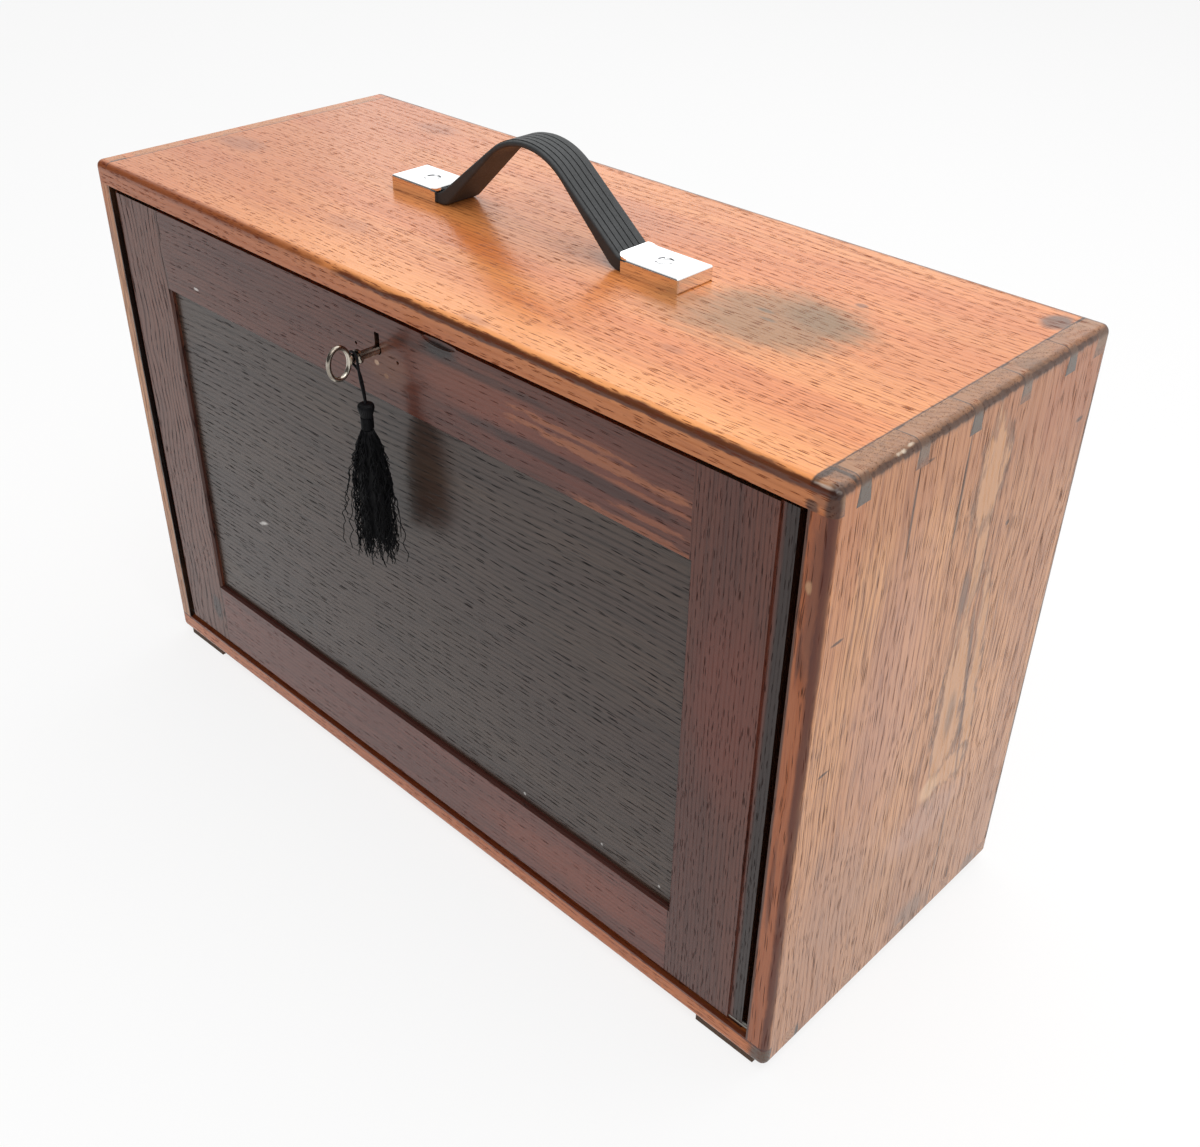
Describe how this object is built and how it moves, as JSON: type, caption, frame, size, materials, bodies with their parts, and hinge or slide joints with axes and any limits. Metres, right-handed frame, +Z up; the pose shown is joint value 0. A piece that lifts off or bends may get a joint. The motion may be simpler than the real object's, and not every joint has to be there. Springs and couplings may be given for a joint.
{
  "type": "engineers toolbox",
  "caption": "Dovetailed oak tool chest with a framed drop front, a till lock with its key and tassel, a strap handle on top, and shallow drawers inside.",
  "frame": {"origin": "on the surface under the feet, midway across the chest and midway between the tip of the key's bow and the back", "axes": "+X to the right seen from the front, +Y to the back, +Z up; the door faces -Y"},
  "size_m": [0.508, 0.231, 0.3721],
  "materials": {
    "carcass_oak": "worn brown shellac on oak",
    "door_oak": "dark grimed oak, dull",
    "panel_oak": "dark grey-brown oak, open grain",
    "back_wood": "plain unfinished hardwood",
    "drawer_face_oak": "satin oak",
    "drawer_wood": "plain beech",
    "drawer_lining": "thin board faced with green baize",
    "knob_brass": "turned, dulled",
    "foot_pad": "matt dark brown pad",
    "chrome_cap": "bright plated",
    "strap_vinyl": "satin ribbed black vinyl",
    "screw_steel": "plain steel",
    "lock_steel": "dull steel",
    "key_nickel": "worn nickel plate",
    "tassel_thread": "black rayon thread"
  },
  "bodies": {
    "carcass": {"top_board": "carcass_oak", "bottom_board": "carcass_oak", "left_side": "carcass_oak", "right_side": "carcass_oak", "back_panel": "back_wood", "stow_shelf": "back_wood", "upper_shelf": "back_wood", "divider_left": "back_wood", "divider_right": "back_wood", "drawer_runners": "back_wood", "feet": "foot_pad", "handle_cap_left": "chrome_cap", "handle_cap_right": "chrome_cap", "handle_strap": "strap_vinyl", "handle_screws": "screw_steel", "strike_plate": "lock_steel"},
    "door": {"door_stile_left": "door_oak", "door_stile_right": "door_oak", "door_top_rail": "door_oak", "door_bottom_rail": "door_oak", "door_panel": "panel_oak", "door_pins": "screw_steel", "lock_case": "lock_steel", "lock_plate": "lock_steel", "lock_screws": "screw_steel"},
    "key": {"key": "key_nickel"},
    "lock_bolt": {"lock_bolt": "lock_steel"},
    "tassel": {"tassel_cord": "tassel_thread", "tassel_head": "tassel_thread", "tassel_skirt": "tassel_thread"},
    "bottom_drawer": {"bottom_drawer_front": "drawer_face_oak", "bottom_drawer_sides": "drawer_wood", "bottom_drawer_bottom": "drawer_lining", "bottom_drawer_knobs": "knob_brass"},
    "fourth_drawer": {"fourth_drawer_front": "drawer_face_oak", "fourth_drawer_sides": "drawer_wood", "fourth_drawer_bottom": "drawer_lining", "fourth_drawer_knobs": "knob_brass"},
    "third_drawer": {"third_drawer_front": "drawer_face_oak", "third_drawer_sides": "drawer_wood", "third_drawer_bottom": "drawer_lining", "third_drawer_knobs": "knob_brass"},
    "second_drawer": {"second_drawer_front": "drawer_face_oak", "second_drawer_sides": "drawer_wood", "second_drawer_bottom": "drawer_lining", "second_drawer_knobs": "knob_brass"},
    "top_drawer_left": {"top_drawer_left_front": "drawer_face_oak", "top_drawer_left_sides": "drawer_wood", "top_drawer_left_bottom": "drawer_lining", "top_drawer_left_knobs": "knob_brass"},
    "top_drawer_middle": {"top_drawer_middle_front": "drawer_face_oak", "top_drawer_middle_sides": "drawer_wood", "top_drawer_middle_bottom": "drawer_lining", "top_drawer_middle_knobs": "knob_brass"},
    "top_drawer_right": {"top_drawer_right_front": "drawer_face_oak", "top_drawer_right_sides": "drawer_wood", "top_drawer_right_bottom": "drawer_lining", "top_drawer_right_knobs": "knob_brass"}
  },
  "joints": [
    {"name": "door_fall", "type": "hinge", "parent": "carcass", "child": "door", "pos_m": [0, -0.0835, 0.0198], "axis": [1, 0, 0], "range_deg": [0, 87]},
    {"name": "key_turn", "type": "hinge", "parent": "door", "child": "key", "pos_m": [-0.007, -0.0875, 0.292], "axis": [0, 1, 0], "range_deg": [0, 360]},
    {"name": "bolt_throw", "type": "slide", "parent": "door", "child": "lock_bolt", "axis": [0, 0, 1], "range_m": [0, 0.007]},
    {"name": "tassel_swing", "type": "hinge", "parent": "door", "child": "tassel", "pos_m": [-0.007, -0.1002, 0.292], "axis": [0, 1, 0], "range_deg": [-60, 60]},
    {"name": "bottom_drawer_slide", "type": "slide", "parent": "carcass", "child": "bottom_drawer", "axis": [0, -1, 0], "range_m": [0, 0.14]},
    {"name": "fourth_drawer_slide", "type": "slide", "parent": "carcass", "child": "fourth_drawer", "axis": [0, -1, 0], "range_m": [0, 0.14]},
    {"name": "third_drawer_slide", "type": "slide", "parent": "carcass", "child": "third_drawer", "axis": [0, -1, 0], "range_m": [0, 0.14]},
    {"name": "second_drawer_slide", "type": "slide", "parent": "carcass", "child": "second_drawer", "axis": [0, -1, 0], "range_m": [0, 0.14]},
    {"name": "top_drawer_left_slide", "type": "slide", "parent": "carcass", "child": "top_drawer_left", "axis": [0, -1, 0], "range_m": [0, 0.14]},
    {"name": "top_drawer_middle_slide", "type": "slide", "parent": "carcass", "child": "top_drawer_middle", "axis": [0, -1, 0], "range_m": [0, 0.14]},
    {"name": "top_drawer_right_slide", "type": "slide", "parent": "carcass", "child": "top_drawer_right", "axis": [0, -1, 0], "range_m": [0, 0.14]}
  ],
  "couplings": [
    {"joint": "bolt_throw", "follows": "key_turn", "m_per_rad": 0.001114},
    {"joint": "bottom_drawer_slide", "follows": "door_fall", "m_per_rad": 0.033},
    {"joint": "fourth_drawer_slide", "follows": "door_fall", "m_per_rad": 0.092},
    {"joint": "third_drawer_slide", "follows": "door_fall", "m_per_rad": 0.092},
    {"joint": "second_drawer_slide", "follows": "door_fall", "m_per_rad": 0.092},
    {"joint": "top_drawer_left_slide", "follows": "door_fall", "m_per_rad": 0.092},
    {"joint": "top_drawer_middle_slide", "follows": "door_fall", "m_per_rad": 0.092},
    {"joint": "top_drawer_right_slide", "follows": "door_fall", "m_per_rad": 0.092}
  ]
}
